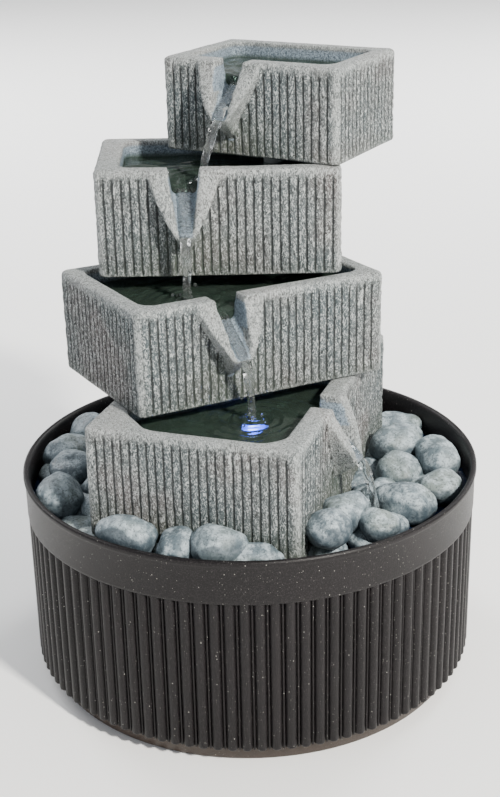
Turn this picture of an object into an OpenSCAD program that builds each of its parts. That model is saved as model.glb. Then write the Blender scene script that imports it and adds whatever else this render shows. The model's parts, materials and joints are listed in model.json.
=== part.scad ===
/* [Bowl] */
// Outside diameter over the rim bead
bowl_d = 300; // [299.6:0.2:301]
// Height of the bowl
bowl_h = 143; // [142:1:146]
// Wall thickness of the bowl
bowl_wall = 3.5; // [3:0.1:4]
// Height of the smooth band under the rim
band_h = 29; // [26:1:30]
// Number of upright ribs round the bowl
rib_count = 102; // [96:1:104]
// Radius of one rib
rib_r = 3.2; // [3:0.1:3.4]

/* [Tray] */
// Height of the tray's top above the table
tray_z = 118; // [116:1:119]
// Thickness of the tray
tray_t = 6; // [5:0.5:7]

/* [Tiers] */
// Height of the top tier's rim above the table
top_rim_z = 397; // [396:1:400]
// Height of the upper tier's rim
upper_rim_z = 338; // [336:1:340]
// Height of the lower tier's rim
lower_rim_z = 270; // [268:1:272]
// Height of the base tier's rim
base_rim_z = 203; // [202:1:205]
// Thickness of a basin's walls
tier_wall = 11; // [10:0.5:12]
// Depth of the three upper basins
basin_depth = 44; // [40:1:46]
// Depth of the base tier's basin
base_basin_depth = 35; // [32:1:37]
// Radius of the upright corners
corner_r = 5; // [4:0.5:7]

/* [Spouts] */
// How far a spout's tip stands out from its wall
spout_reach = 16; // [14:0.5:18]
// How far a spout's tip lies below the rim
spout_drop = 34; // [32:0.5:36]
// Half the spout's width where it leaves the rim
spout_half_w = 22; // [20:0.5:23]
// Half the width of the water channel at the rim
channel_half_w = 9.5; // [9:0.5:10]

/* [Water path] */
// Outside radius of the riser tube
riser_r = 7; // [6.8:0.1:7.1]
// Bore radius of the riser tube
riser_bore_r = 5; // [4.5:0.1:5.5]
// Outside radius of the underwater light
led_r = 9; // [8.5:0.1:9.5]

/* [Pump] */
// Width of the pump
pump_w = 42; // [42:1:44]
// Height of the pump
pump_h = 40; // [40:1:42]
// Length of the motor housing
motor_l = 36; // [36:1:38]

/* [Hidden] */
$fn = 64;
eps = 0.01;

// ---- Bowl ----
bowl_r = bowl_d / 2;
band_r = bowl_r - 1;                  // the band stands 1 mm inside the rim bead
rib_ring_r = bowl_r - 4.6;            // the ribs' centres
band_z = bowl_h - band_h;
rib_z = 12;                           // the ribs stop above a plain foot
foot_r = 141;
floor_t = 4;
lug_count = 6;
lug_w = 16;
lug_l = 14;
lug_h = 14;
tray_bottom_z = tray_z - tray_t;
inner_r = rib_ring_r + 1 - bowl_wall;       // inside the ribbed wall
inner_band_r = band_r - bowl_wall;          // inside the band

module bowl_shell() {
    rotate_extrude($fn = 180) polygon([[foot_r - 8, floor_t], [foot_r + 0.3, floor_t], [foot_r + 2, rib_z],
        [rib_ring_r + 1, rib_z], [rib_ring_r + 1, band_z], [band_r, band_z], [band_r, bowl_h - 3],
        [bowl_r, bowl_h - 2], [bowl_r, bowl_h - 1], [bowl_r - 1, bowl_h], [inner_band_r + 1, bowl_h],
        [inner_band_r, bowl_h - 1], [inner_band_r, band_z], [inner_r, band_z - 2], [inner_r, rib_z + 4]]);
}

module bowl_ribs() {
    translate([0, 0, rib_z]) linear_extrude(band_z - rib_z + 1) difference() {
        union() {
            circle(r = rib_ring_r + 1.5, $fn = 180);
            for (i = [0 : rib_count - 1]) rotate(i * 360 / rib_count)
                translate([rib_ring_r, 0]) circle(r = rib_r, $fn = 16);
        }
        circle(r = inner_r, $fn = 180);
    }
}

// Six lugs inside the wall carry the tray.
module bowl_lugs() {
    for (i = [0 : lug_count - 1]) rotate(30 + i * 360 / lug_count)
        translate([inner_r - lug_l, -lug_w / 2, tray_bottom_z - lug_h]) cube([lug_l + 1, lug_w, lug_h]);
}

grommet_z = 129;
grommet_bore_r = 2.75;

module grommet_hole(r) {
    translate([0, bowl_r + 5, grommet_z]) rotate([90, 0, 0]) cylinder(r = r, h = 30);
}

module reservoir_bowl() {
    color("#2b2725") difference() {
        union() {
            bowl_shell();
            bowl_ribs();
            bowl_lugs();
        }
        grommet_hole(5);
    }
}

// The floor is a plate with a raised foot ring, welded under the wall.
module bowl_floor() {
    color("#2b2725") rotate_extrude($fn = 180) polygon([[0, 2], [foot_r - 14, 2], [foot_r - 13, 0],
        [foot_r - 2, 0], [foot_r, 2.5], [foot_r + 0.3, floor_t], [0, floor_t]]);
}

module cable_grommet() {
    outer_y = bowl_r;
    inner_y = inner_band_r - 2.2;
    color("#1b1b1b") translate([0, outer_y, grommet_z]) rotate([90, 0, 0]) difference() {
        union() {
            cylinder(r = 7, h = outer_y - band_r);
            cylinder(r = 4.95, h = outer_y - inner_y);
            translate([0, 0, outer_y - inner_band_r + 0.4]) cylinder(r = 7, h = 1.8);
        }
        translate([0, 0, -1]) cylinder(r = grommet_bore_r, h = 20);
    }
}

// ---- Pump: its axis runs along Y, its nozzle stands under the riser ----
riser_x = 20;
riser_y = 55;
cup_h = 6;
pump_axis_z = floor_t + cup_h + pump_h / 2;
cover_y0 = -7;                        // front of the impeller cover, from the riser's axis
motor_y0 = 6;                         // where the motor housing begins
motor_y1 = motor_y0 + motor_l;
well_r = 7.9;                         // bore of the rotor well
well_l = 28;
shell_t = 2;
shaft_r = 1.15;
nozzle_r = 7.25;
nozzle_top = 36;                      // above the pump's axis
hose_bore_r = 7.3;

module at_pump() { translate([riser_x, riser_y, pump_axis_z]) children(); }

// A cylinder along +Y from y0, l long.
module along_y(y0, l, r) { translate([0, y0, 0]) rotate([-90, 0, 0]) cylinder(r = r, h = l); }

// A block centred on the pump's axis, from y0, l long.
module pump_block(y0, l, w, h) { translate([-w / 2, y0, -h / 2]) cube([w, l, h]); }

module pump_housing() {
    color("#20242a") at_pump() difference() {
        union() {
            difference() {
                pump_block(motor_y0, motor_l, pump_w, pump_h);
                pump_block(motor_y0 + 3, motor_l, pump_w - 2 * shell_t, pump_h - 2 * shell_t);
            }
            along_y(motor_y0 + 1, well_l + 1, well_r + 1.4);
        }
        along_y(motor_y0 - 1, well_l - 3 + 1, well_r);
        along_y(motor_y0 + well_l - 5, 3.5, 2.5);
        along_y(motor_y0 - 1, 1 + 1.6, 18.1 - eps);
    }
    // the land inside the seal's groove
    color("#20242a") at_pump() difference() {
        along_y(motor_y0, 1.6, 15.9);
        along_y(motor_y0 - 1, 4, well_r);
    }
}

core_y0 = motor_y0 + 6;
core_l = 18;
bar_z = -16.4;
bar_h = 4.8;

module stator_core() {
    color("#6f6a63") at_pump() difference() {
        union() {
            translate([-17, core_y0, bar_z]) cube([34, core_l, bar_h]);
            for (s = [-1, 1]) translate([s > 0 ? 8.2 : -17, core_y0, bar_z]) cube([8.8, core_l, 25]);
        }
        along_y(core_y0 - 1, core_l + 2, well_r + 1.7);
    }
}

module stator_coil() {
    color("#a05a2c") at_pump() difference() {
        translate([-8, core_y0 - 2, bar_z - 1.4]) cube([16, core_l + 4, bar_h + 2.8]);
        translate([-9, core_y0 - 0.2, bar_z - 0.1]) cube([18, core_l + 0.4, bar_h + 0.2]);
        along_y(core_y0 - 3, core_l + 6, well_r + 1.6);
    }
}

gland_x = 9;
gland_z = 6;
gland_r = 3.4;

module pump_back_plate() {
    color("#15171a") at_pump() difference() {
        pump_block(motor_y1 - 3, 3, pump_w - 2 * shell_t - 0.1, pump_h - 2 * shell_t - 0.1);
        translate([gland_x, 0, gland_z]) along_y(motor_y1 - 4, 6, gland_r + 0.05);
    }
}

module pump_cable_gland() {
    color("#1b1b1b") at_pump() translate([gland_x, 0, gland_z]) difference() {
        union() {
            along_y(motor_y1 - 5, 15, gland_r);
            along_y(motor_y1 + 0.1, 2, gland_r + 1.6);
        }
        along_y(motor_y1 - 6, 17, 2.5);
    }
}

module impeller_shaft() {
    color("#e9e6de") at_pump() along_y(cover_y0 + 1.5, 36.5, shaft_r);
}

module rear_shaft_bush() {
    color("#3a3a3a") at_pump() difference() {
        along_y(motor_y0 + well_l - 4.5, 3, 2.45);
        along_y(motor_y0 + well_l - 5, 4, shaft_r + 0.05);
    }
}

module front_shaft_bush() {
    color("#3a3a3a") at_pump() difference() {
        along_y(cover_y0 + 1.5, 2.5, 2.2);
        along_y(cover_y0 + 1, 4, shaft_r + 0.05);
    }
}

module impeller_cover() {
    front_t = 4.5;
    color("#20242a") at_pump() difference() {
        union() {
            pump_block(cover_y0, motor_y0 - cover_y0, pump_w, pump_h);
            translate([0, 0, pump_h / 2]) cylinder(r = nozzle_r, h = nozzle_top - pump_h / 2);
        }
        along_y(cover_y0 + front_t, 20, 11);
        cylinder(r = riser_bore_r, h = nozzle_top + 1);
        along_y(cover_y0 + 1.5, 10, 2.25);
        for (i = [0 : 5]) rotate([0, i * 60 + 30, 0]) translate([6.6, 0, 0]) along_y(cover_y0 - 1, 10, 2.2);
    }
}

module cover_seal() {
    color("#111111") at_pump() difference() {
        along_y(motor_y0 + 0.05, 1.5, 18);
        along_y(motor_y0 - 1, 4, 16);
    }
}

module suction_cups() {
    color("#3d4348") for (x = [-14, 14], y = [12, 34])
        translate([riser_x + x, riser_y + y, floor_t]) rotate_extrude()
            polygon([[0, 3], [4, 1.5], [6.5, 0], [7, 0], [6.8, 1], [2.5, 3.6], [2.5, cup_h], [0, cup_h]]);
}

module riser_hose() {
    top_z = tray_bottom_z - 4;
    bottom_z = pump_axis_z + pump_h / 2 + 0.2;
    color("#b9c4c6", 0.6) translate([riser_x, riser_y, bottom_z]) difference() {
        cylinder(r = hose_bore_r + 2.2, h = top_z - bottom_z);
        translate([0, 0, -1]) cylinder(r = hose_bore_r, h = top_z - bottom_z + 2);
    }
}

module impeller_magnet() {
    color("#4a4a4d") at_pump() difference() {
        along_y(motor_y0 + 1.5, 20, well_r - 0.6);
        along_y(motor_y0, 24, shaft_r + 0.05);
    }
}

vane_count = 6;

module impeller_wheel() {
    color("#e3e3df") at_pump() difference() {
        union() {
            along_y(motor_y0 - 0.5, 2, 7);
            along_y(-2, 8, 3);
            for (i = [0 : vane_count - 1]) rotate([0, i * 360 / vane_count, 0])
                translate([2, -1.5, -0.7]) cube([7.6, 7, 1.4]);
        }
        along_y(-3, 12, shaft_r + 0.05);
    }
}

inlet_y1 = cover_y0 - 0.2;
inlet_l = 9;
inlet_y0 = inlet_y1 - inlet_l;
inlet_t = 1.6;

module inlet_cover() {
    color("#20242a") at_pump() difference() {
        pump_block(inlet_y0, inlet_l, pump_w, pump_h);
        pump_block(inlet_y0 + inlet_t, inlet_l, pump_w - 2 * inlet_t, pump_h - 2 * inlet_t);
        along_y(inlet_y0 - 1, 4, 2.05);
        for (i = [0 : 3]) rotate([0, i * 90, 0]) translate([7, 0, 0]) along_y(inlet_y0 - 1, 4, 2.5);
        for (x = [-17.6 : 2.9 : -14.7], s = [-1, 1])
            translate([s * x - 0.8, inlet_y0 - 1, -13]) cube([1.6, 4, 26]);
    }
}

module inlet_sponge() {
    color("#2f3b39") at_pump() difference() {
        pump_block(inlet_y0 + inlet_t, inlet_l - inlet_t - 0.2, pump_w - 2 * inlet_t - 0.4, pump_h - 2 * inlet_t - 0.4);
        along_y(inlet_y0, inlet_l, 5);
    }
}

module flow_dial() {
    dial_t = 2;
    dial_y = inlet_y0 - dial_t - 0.3;
    color("#c9ccc9") at_pump() difference() {
        union() {
            along_y(dial_y, dial_t, 11.5);
            along_y(dial_y, dial_t + 0.3 + inlet_t + 1, 1.95);
            rotate([0, 45, 0]) translate([-1.5, dial_y - 3, -9]) cube([3, 3.2, 18]);
        }
        for (i = [0 : 3]) rotate([0, i * 90, 0]) translate([7, 0, 0]) along_y(dial_y - 4, 8, 2.5);
    }
}

// ---- Tray ----
tray_r = 142;
tray_screw_spots = [[-48, 20], [70, 55], [-72, -60], [6, -100]];

module tray_screw_holes(r, z, h) {
    for (p = tray_screw_spots) translate([p[0], p[1], z]) cylinder(r = r, h = h, $fn = 32);
}

module pebble_tray() {
    color("#1f2227") difference() {
        translate([0, 0, tray_bottom_z]) cylinder(r = tray_r, h = tray_t, $fn = 180);
        translate([riser_x, riser_y, tray_bottom_z - 1]) cylinder(r = 10.5, h = tray_t + 2);
        tray_screw_holes(2.2, tray_bottom_z - 1, tray_t + 2);
        for (i = [0 : 15]) rotate(11 + i * 22.5) translate([134, 0, tray_bottom_z - 1]) cylinder(r = 3, h = tray_t + 2, $fn = 24);
    }
}

module tray_screws() {
    color("#b9bcbf") for (p = tray_screw_spots) translate([p[0], p[1], tray_bottom_z - 2.2]) {
        cylinder(r = 4, h = 2.2, $fn = 32);
        cylinder(r = 1.75, h = 2.2 + tray_t + 9, $fn = 32);
    }
}

// ---- Tiers: [width, depth, centre x, centre y, yaw, lean of the side walls in plan] ----
top_plan = [123, 86, 24.6, 54.9, -29.2, 0];
upper_plan = [152, 98, -17.2, 37, 0, 1.5];
lower_plan = [169, 107, -16.2, 1.9, 26, 5];
base_plan = [134, 209, -1.6, -12.2, -18.7, 0];
spout_at = [-16, -19, -17, 9];         // each spout from the middle of its wall, from the top tier down
riser_boss_r = 15;

// Corners of a plan, going round from the front left, drawn in by t.
function corners(plan, t) =
    let (k = cos(plan[5]), a = plan[0] / 2 - t / k, b = plan[1] / 2 - t / k, side = [-sin(plan[5]), k])
    [for (c = [[-1, -1], [1, -1], [1, 1], [-1, 1]]) [c[0] * a, 0] + c[1] * b * side];

function outward(p, q) = let (d = (q - p) / norm(q - p)) [d[1], -d[0]];

// A plan drawn in by t, with corners of radius r.
module outline(plan, t, r) {
    c = corners(plan, t + r);
    polygon([for (i = [0 : 3]) for (e = [0, 1]) c[(i + e) % 4] + r * outward(c[i], c[(i + 1) % 4])]);
    for (p = c) translate(p) circle(r = r);
}

module at_plan(plan, z) { translate([plan[2], plan[3], z]) rotate(plan[4]) children(); }

// A slab from the wall to y, w wide each side, at height z: the spouts are blended from these.
module slab(w, y, z) { translate([-w, -6, z]) cube([2 * w, 6 + y, 0.5]); }

// A pouring spout: x along the wall, y out of it, z up from the rim.
module beak() {
    hull() {
        slab(spout_half_w, 1.5, -0.5);
        slab(spout_half_w * 0.76, 7.5, -17);
        slab(6.5, spout_reach, -spout_drop);
        slab(5, 0.5, -spout_drop - 12);
    }
}

module channel() {
    hull() {
        translate([-channel_half_w, -tier_wall - 2, -13]) cube([2 * channel_half_w, 1, 15]);
        translate([-channel_half_w, spout_reach + 1, 0]) cube([2 * channel_half_w, 1, 2]);
        translate([-4, spout_reach + 1, -spout_drop + 0.5]) cube([8, 1, 1]);
    }
}

module riser_boss(z, h) { translate([riser_x, riser_y, z]) cylinder(r = riser_boss_r, h = h); }

module riser_hole(z, h) { translate([riser_x, riser_y, z - 1]) cylinder(r = riser_r + 0.6, h = h + 2); }

// The spout on the front wall, at x from its middle.
module on_front(plan, x) { translate([x, -plan[1] / 2 * cos(plan[5]), 0]) rotate(180) mirror([1, 0, 0]) children(); }

module plain_tier(plan, spout_x, rim_z, foot_z, boss) {
    floor_z = rim_z - basin_depth;
    difference() {
        union() {
            difference() {
                at_plan(plan, 0) union() {
                    translate([0, 0, foot_z]) linear_extrude(rim_z - foot_z) outline(plan, 0, corner_r);
                    translate([0, 0, rim_z]) on_front(plan, spout_x) beak();
                }
                at_plan(plan, floor_z) linear_extrude(basin_depth + 1) outline(plan, tier_wall, 8);
                at_plan(plan, rim_z) on_front(plan, spout_x) channel();
            }
            if (boss) riser_boss(floor_z - 1, basin_depth + 1);
        }
        riser_hole(foot_z, rim_z - foot_z);
    }
}

module top_tier() { color("#8d9293") plain_tier(top_plan, spout_at[0], top_rim_z, upper_rim_z, false); }

module upper_tier() { color("#8d9293") plain_tier(upper_plan, spout_at[1], upper_rim_z, lower_rim_z, true); }

module lower_tier() { color("#8d9293") plain_tier(lower_plan, spout_at[2], lower_rim_z, base_rim_z, true); }

base_basin = [[-42, -84], [-4, -96], [44, -96], [54, -86], [54, 22], [40, 22], [-50, -60]];
base_floor_z = base_rim_z - base_basin_depth;
base_hollow_z = base_floor_z - 12;
led_x = 3;
led_y = -57;

module base_tier() {
    color("#8d9293") difference() {
        at_plan(base_plan, 0) union() {
            translate([0, 0, tray_z]) linear_extrude(base_rim_z - tray_z) outline(base_plan, 0, corner_r);
            translate([base_plan[0] / 2, -base_plan[1] / 2 + 76, base_rim_z]) rotate(-90) beak();
        }
        at_plan(base_plan, base_floor_z) linear_extrude(base_basin_depth + 1) polygon(base_basin);
        at_plan(base_plan, base_rim_z) translate([base_plan[0] / 2, -base_plan[1] / 2 + 76, 0]) rotate(-90) channel();
        at_plan(base_plan, tray_z - 1) linear_extrude(base_hollow_z - tray_z + 1) outline(base_plan, 24, 6);
        riser_hole(tray_z, base_rim_z - tray_z);
        translate([led_x, led_y, base_hollow_z - 1]) cylinder(r = 3.6, h = 20);
        tray_screw_holes(1.8, tray_z - 1, 12);
    }
}

// ---- Riser ----
riser_top_z = top_rim_z - 22;
riser_bottom_z = tray_bottom_z - 20;
top_floor_z = top_rim_z - basin_depth;

module riser_tube() {
    color("#d8dcda") translate([riser_x, riser_y, riser_bottom_z]) difference() {
        cylinder(r = riser_r, h = riser_top_z - riser_bottom_z);
        translate([0, 0, -1]) cylinder(r = riser_bore_r, h = riser_top_z - riser_bottom_z + 2);
    }
}

module ring(r_out, r_in, z, h) {
    translate([riser_x, riser_y, z]) difference() {
        cylinder(r = r_out, h = h);
        translate([0, 0, -1]) cylinder(r = r_in, h = h + 2);
    }
}

module riser_seal() { color("#151515") ring(11.5, riser_r + 0.05, top_floor_z, 2); }

module riser_nut() {
    color("#2d3033") translate([riser_x, riser_y, top_floor_z + 2]) difference() {
        cylinder(r = 11.5, h = 6, $fn = 6);
        translate([0, 0, -1]) cylinder(r = riser_r + 0.05, h = 8);
    }
}

// ---- Underwater light, standing on the base tier's floor ----
led_h = 11;

module at_led() { translate([led_x, led_y, base_floor_z]) children(); }

module led_housing() {
    color("#17191c") at_led() difference() {
        union() {
            cylinder(r = led_r, h = led_h);
            translate([0, 0, -14]) cylinder(r = 3.4, h = 15);
        }
        translate([0, 0, 3]) cylinder(r = led_r - 1.6, h = led_h);
        translate([0, 0, -15]) cylinder(r = 1.6, h = 20);
    }
}

module led_board() {
    color("#e8ecef") at_led() translate([0, 0, 3]) difference() {
        cylinder(r = led_r - 1.7, h = 1.2);
        translate([4.5, 0, -1]) cylinder(r = 0.8, h = 4, $fn = 24);
    }
}

module led_emitter() {
    color("#dfe8ff") at_led() translate([0, 0, 4.2]) {
        cylinder(r = 2.5, h = 1.5);
        translate([0, 0, 1.5]) difference() {
            sphere(r = 1.9, $fn = 32);
            translate([-4, -4, -8]) cube([8, 8, 8]);
        }
    }
}

module led_gasket() {
    color("#101010") at_led() translate([0, 0, 6.6]) difference() {
        cylinder(r = led_r - 1.7, h = 1.2);
        translate([0, 0, -1]) cylinder(r = led_r - 3.2, h = 4);
    }
}

module led_lens() {
    color("#e6f2ff", 0.5) at_led() translate([0, 0, 9.6 - 1.8]) cylinder(r = led_r - 1.7, h = 2.6);
}

// ---- Pebbles round the tower: [x, y, height of the middle over the tray, length, thickness, yaw] ----
front_pebbles = [[-72, -113, 26, 37, 21, -32], [-44, -123, 22, 27, 20, -100],
    [-19, -130, 30, 31, 23, -23], [1, -136, 12, 34, 16, -1], [-63, -117, 7, 26, 14, -28],
    [-26, -123, 7, 30, 14, -18], [46, -118, 28, 24, 22, 67]];
right_pebbles = [[58, -85, 20, 36, 22, 66], [78, -98, 19, 24, 18, -30], [98, -60, 13, 38, 24, -11],
    [99, -12, 14, 30, 28, 0], [99, 15, 26, 30, 26, 35], [125, -3, 23, 42, 25, 94],
    [106, 48, 15, 30, 24, 22], [47, -112, 8, 28, 16, 61], [84, -81, 8, 26, 16, 12],
    [66, -60, 8, 22, 15, 70], [83, -35, 9, 26, 18, 44], [124, -35, 11, 28, 22, 48],
    [127, 31, 12, 30, 24, 65], [106, 75, 12, 32, 24, -16], [94, 26, 8, 24, 15, 35]];
left_pebbles = [[-122, -45, 14, 36, 24, -70], [-117, -4, 13, 32, 24, 73], [-100, -52, 8, 24, 14, -80],
    [-100, -22, 9, 26, 18, 73], [-92, 8, 10, 26, 20, 60], [-125, 26, 12, 32, 24, 83],
    [-112, 58, 12, 32, 24, 60], [-81, 42, 10, 28, 20, 85], [-101, 28, 9, 22, 16, 9]];
back_pebbles = [[-90, 90, 12, 34, 24, 50], [-66, 72, 10, 28, 20, 30], [-62, 113, 12, 32, 24, 41],
    [-33, 126, 12, 30, 22, 20], [26, 125, 11, 28, 22, -10], [52, 110, 12, 30, 24, -25],
    [82, 96, 12, 32, 24, -73], [-5, 122, 9, 26, 18, 5], [-48, 96, 9, 24, 18, 40]];

// Half of an oval's outline: a small arc at each end met by one wide arc, cut into short straight steps.
module oval(length, thick) {
    end_r = thick * 0.36;
    c = length / 2 - end_r;
    k = thick / 2 - end_r;
    d = (c * c - k * k) / (2 * k);
    lean = atan2(c, d);
    wide = [for (i = [0 : 3]) let (a = i * lean / 4) [(d + thick / 2) * cos(a) - d, (d + thick / 2) * sin(a)]];
    tip = [for (i = [0 : 3]) let (a = lean + i * (90 - lean) / 4) [end_r * cos(a), c + end_r * sin(a)]];
    half = concat(wide, tip, [[0, length / 2]]);
    polygon(concat(half, [for (i = [8 : -1 : 1]) [half[i][0], -half[i][1]]]));
}

module pebbles(spots) {
    for (p = spots) translate([p[0], p[1], tray_z + p[2]]) rotate([0, 0, p[5]]) rotate([0, 90, 0])
        rotate_extrude($fn = 32) oval(p[3], p[4]);
}

module pebbles_front() { color("#7d888c") pebbles(front_pebbles); }

module pebbles_right() { color("#7d888c") pebbles(right_pebbles); }

module pebbles_left() { color("#7d888c") pebbles(left_pebbles); }

module pebbles_back() { color("#7d888c") pebbles(back_pebbles); }

reservoir_bowl();
bowl_floor();
cable_grommet();
pump_housing();
stator_core();
stator_coil();
pump_back_plate();
pump_cable_gland();
impeller_shaft();
rear_shaft_bush();
front_shaft_bush();
impeller_cover();
cover_seal();
suction_cups();
riser_hose();
impeller_magnet();
impeller_wheel();
inlet_cover();
inlet_sponge();
flow_dial();
pebble_tray();
tray_screws();
base_tier();
lower_tier();
upper_tier();
top_tier();
riser_tube();
riser_seal();
riser_nut();
led_housing();
led_gasket();
led_board();
led_emitter();
led_lens();
pebbles_front();
pebbles_right();
pebbles_left();
pebbles_back();
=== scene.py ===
# %% [markdown]
# # A tabletop water fountain
# Four cast-stone basins are stacked and turned against each other. Water rises inside them, pours from
# spout to spout, and falls among pebbles into a round ribbed bowl that hides the pump.
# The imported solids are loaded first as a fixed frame, and every new piece is placed by their boxes.

# %% Load the frame
import bpy
import json
import math
import numpy as np
from mathutils import Matrix, Vector


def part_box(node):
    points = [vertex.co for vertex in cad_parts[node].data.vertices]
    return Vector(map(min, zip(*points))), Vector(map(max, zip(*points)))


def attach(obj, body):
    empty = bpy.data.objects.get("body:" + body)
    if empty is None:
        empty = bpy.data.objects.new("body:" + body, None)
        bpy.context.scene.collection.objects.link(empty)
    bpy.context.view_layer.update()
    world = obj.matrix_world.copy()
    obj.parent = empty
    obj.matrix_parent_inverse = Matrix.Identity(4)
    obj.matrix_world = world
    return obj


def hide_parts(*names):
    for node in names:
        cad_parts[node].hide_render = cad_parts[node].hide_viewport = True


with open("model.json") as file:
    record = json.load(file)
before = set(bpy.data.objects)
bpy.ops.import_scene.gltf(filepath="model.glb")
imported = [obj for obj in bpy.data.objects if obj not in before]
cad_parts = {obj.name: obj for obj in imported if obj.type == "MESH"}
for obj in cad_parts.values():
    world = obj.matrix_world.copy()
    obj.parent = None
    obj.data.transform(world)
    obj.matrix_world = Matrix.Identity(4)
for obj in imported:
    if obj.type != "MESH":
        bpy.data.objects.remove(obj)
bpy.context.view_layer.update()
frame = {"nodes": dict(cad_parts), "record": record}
MM = 0.001

# %% [markdown]
# ## Helpers for modelling
# Operators act on whatever is selected, so each helper starts from nothing selected. Faces and edges are
# picked by a test on their place, which is what a hand would do with a box selection.

# %% Selecting and applying
def only(obj):
    """Leaves obj as the one selected and active object."""
    bpy.ops.object.select_all(action="DESELECT")
    obj.select_set(True)
    bpy.context.view_layer.objects.active = obj


def edit_all(obj):
    """Goes to edit mode with everything selected."""
    only(obj)
    bpy.ops.object.mode_set(mode="EDIT")
    bpy.ops.mesh.select_all(action="SELECT")


def pick(obj, kind, test):
    """Goes to edit mode with only the vertices, edges or faces selected that pass the test."""
    only(obj)
    bpy.ops.object.mode_set(mode="EDIT")
    bpy.ops.mesh.select_mode(type=kind)
    bpy.ops.mesh.select_all(action="DESELECT")
    bpy.ops.object.mode_set(mode="OBJECT")
    mesh = obj.data
    things = {"VERT": mesh.vertices, "EDGE": mesh.edges, "FACE": mesh.polygons}[kind]
    for thing in things:
        thing.select = test(thing)
    bpy.ops.object.mode_set(mode="EDIT")


def done():
    """Goes back to object mode."""
    bpy.ops.object.mode_set(mode="OBJECT")


def outward(obj):
    """Welds the mesh and turns its faces outward."""
    edit_all(obj)
    bpy.ops.mesh.remove_doubles(threshold=0.00002)
    bpy.ops.mesh.normals_make_consistent(inside=False)
    done()


def settle(obj):
    """Puts the object's place, turn and scale into its mesh."""
    only(obj)
    bpy.ops.object.transform_apply(location=True, rotation=True, scale=True)


def modify(obj, kind, **settings):
    """Adds a modifier with these settings and applies it."""
    only(obj)
    m = obj.modifiers.new(kind.lower(), kind)
    for key, value in settings.items():
        setattr(m, key, value)
    bpy.ops.object.modifier_apply(modifier=m.name)


def join(first, *others):
    """Joins the others into the first, and gives the first back."""
    bpy.ops.object.select_all(action="DESELECT")
    for o in (first, *others):
        o.select_set(True)
    bpy.context.view_layer.objects.active = first
    bpy.ops.object.join()
    return first


def smooth(obj, degrees):
    """Shades smooth, but keeps edges sharper than this angle."""
    only(obj)
    bpy.ops.object.shade_smooth_by_angle(angle=math.radians(degrees))


# %% [markdown]
# ## Helpers for shape
# Two moves make most of this object. A ring is extruded and scaled again and again, as on a lathe, or a
# flat face is extruded and scaled to loft a spout.

# %% Turned and lofted shapes
def turned(name, rings, segments):
    """A closed turned shape about Z from (radius, height) rings, in metres."""
    r, z = rings[0]
    bpy.ops.object.select_all(action="DESELECT")
    bpy.ops.mesh.primitive_circle_add(vertices=segments, radius=r, location=(0, 0, z), fill_type="NGON")
    obj = bpy.context.object
    obj.name = name
    settle(obj)
    edit_all(obj)
    for r2, z2 in rings[1:]:
        bpy.ops.mesh.extrude_region_move(TRANSFORM_OT_translate={"value": (0, 0, z2 - z)})
        bpy.ops.transform.resize(value=(r2 / r, r2 / r, 1), center_override=(0, 0, z2))
        r, z = r2, z2
    done()
    outward(obj)
    return obj


def lofted(name, rings):
    """A closed shape from (half width, front, back, height) rectangles, in metres. It looks along -Y."""
    w, f, b, z = rings[0]
    bpy.ops.object.select_all(action="DESELECT")
    bpy.ops.mesh.primitive_plane_add(size=1, location=(0, (f + b) / 2, z))
    obj = bpy.context.object
    obj.name = name
    obj.scale = (2 * w, b - f, 1)
    settle(obj)
    edit_all(obj)
    for w2, f2, b2, z2 in rings[1:]:
        bpy.ops.mesh.extrude_region_move(TRANSFORM_OT_translate={"value": (0, (f2 + b2 - f - b) / 2, z2 - z)})
        grow = (w2 / w, (b2 - f2) / (b - f), 1)
        bpy.ops.transform.resize(value=grow, center_override=(0, (f2 + b2) / 2, z2))
        w, f, b, z = w2, f2, b2, z2
    done()
    outward(obj)
    return obj


def block(name, low, high):
    """A cube primitive stretched between two corners."""
    bpy.ops.object.select_all(action="DESELECT")
    bpy.ops.mesh.primitive_cube_add(size=1, location=[(a + b) / 2 for a, b in zip(low, high)])
    obj = bpy.context.object
    obj.name = name
    obj.scale = [b - a for a, b in zip(low, high)]
    settle(obj)
    return obj


# %% [markdown]
# ## Helpers for finishes
# Colours are written as the hex values that a colour picker shows and are turned to linear light by one
# function. A second function adds a node with its settings and its links.

# %% Colours and nodes
def linear(hex_colour):
    """An sRGB hex colour as linear RGBA."""
    channels = [int(hex_colour[i:i + 2], 16) / 255 for i in (1, 3, 5)]
    return [c / 12.92 if c <= 0.04045 else ((c + 0.055) / 1.055) ** 2.4 for c in channels] + [1.0]


def node(tree, kind, settings=None, **links):
    """Adds a node. Settings are its own values, and links are its inputs: a number, a colour or a socket."""
    n = tree.nodes.new("ShaderNode" + kind)
    for key, value in (settings or {}).items():
        setattr(n, key, value)
    for key, value in links.items():
        by_number = key[0] == "i" and key[1:].isdigit()
        socket = n.inputs[int(key[1:]) if by_number else key.replace("_", " ")]
        if isinstance(value, bpy.types.NodeSocket):
            tree.links.new(value, socket)
        else:
            socket.default_value = value
    return n


def ramp(tree, fac, *stops):
    """A colour ramp of (position, value or colour) stops."""
    n = node(tree, "ValToRGB", i0=fac)
    e = n.color_ramp.elements
    while len(e) < len(stops):
        e.new(0.5)
    for item, (at, colour) in zip(e, stops):
        item.position = at
        item.color = colour if hasattr(colour, "__len__") else (colour, colour, colour, 1)
    return n.outputs[0]


def mix(tree, fac, a, b):
    """Two colours mixed by fac."""
    n = node(tree, "Mix", {"data_type": "RGBA"})
    for index, value in ((0, fac), (6, a), (7, b)):
        if isinstance(value, bpy.types.NodeSocket):
            tree.links.new(value, n.inputs[index])
        else:
            n.inputs[index].default_value = value
    return n.outputs[2]


def maths(tree, how, a, b=0.0):
    """One sum on two values."""
    return node(tree, "Math", {"operation": how}, i0=a, i1=b).outputs[0]


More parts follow.
